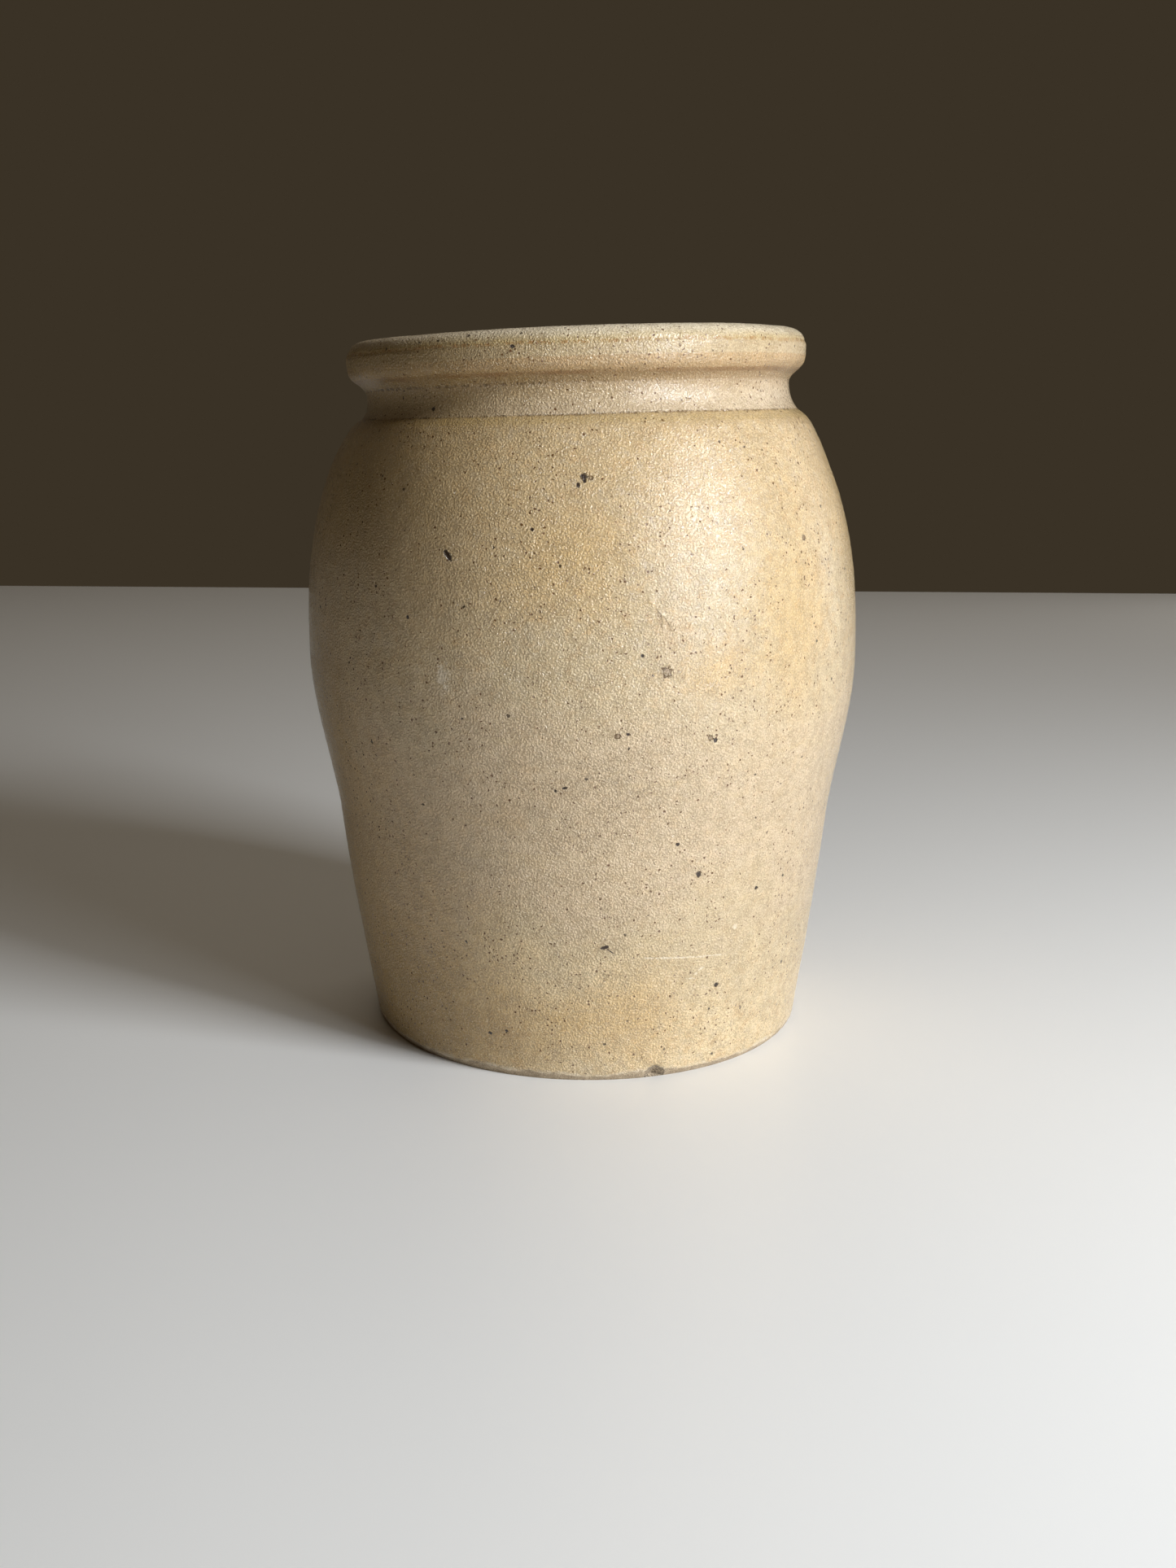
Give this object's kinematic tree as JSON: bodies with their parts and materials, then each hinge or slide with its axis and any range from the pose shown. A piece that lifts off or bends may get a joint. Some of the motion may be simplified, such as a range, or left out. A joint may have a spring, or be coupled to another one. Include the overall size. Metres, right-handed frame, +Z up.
{
  "type": "stoneware vase",
  "caption": "Hollow salt-glazed stoneware jar used as a vase: full belly, straight lower wall, grooved neck and heavy rolled collar round a wide open mouth.",
  "frame": {"origin": "centre of the flat underside, on the surface the jar stands on", "axes": "+Z up through the mouth; -X is the side that the jar leans towards and where the collar sits lower, and -Y faces the viewer"},
  "size_m": [0.188, 0.188, 0.2376],
  "materials": {
    "bare_clay_foot": "bare fired grey-buff stoneware, matt and slightly gritty",
    "salt_glaze_lower": "thin greyish-buff salt glaze with orange-peel texture, small iron specks and scuffs",
    "salt_glaze_belly": "buff to pinkish-grey salt glaze with orange-peel texture, many small iron specks and a few pits",
    "salt_glaze_shoulder": "golden ochre salt glaze, a little glossier, with orange-peel texture, iron specks and dark pits",
    "salt_glaze_neck": "glossier pinkish-grey buff salt glaze, dirt held in the crease",
    "salt_glaze_rim": "buff salt glaze over fine horizontal throwing lines, worn lighter along the top edge"
  },
  "bodies": {
    "root": {"base_slab": "bare_clay_foot", "lower_wall": "salt_glaze_lower", "belly_wall": "salt_glaze_belly", "shoulder_wall": "salt_glaze_shoulder", "neck_band": "salt_glaze_neck", "rim_collar": "salt_glaze_rim"}
  },
  "joints": []
}
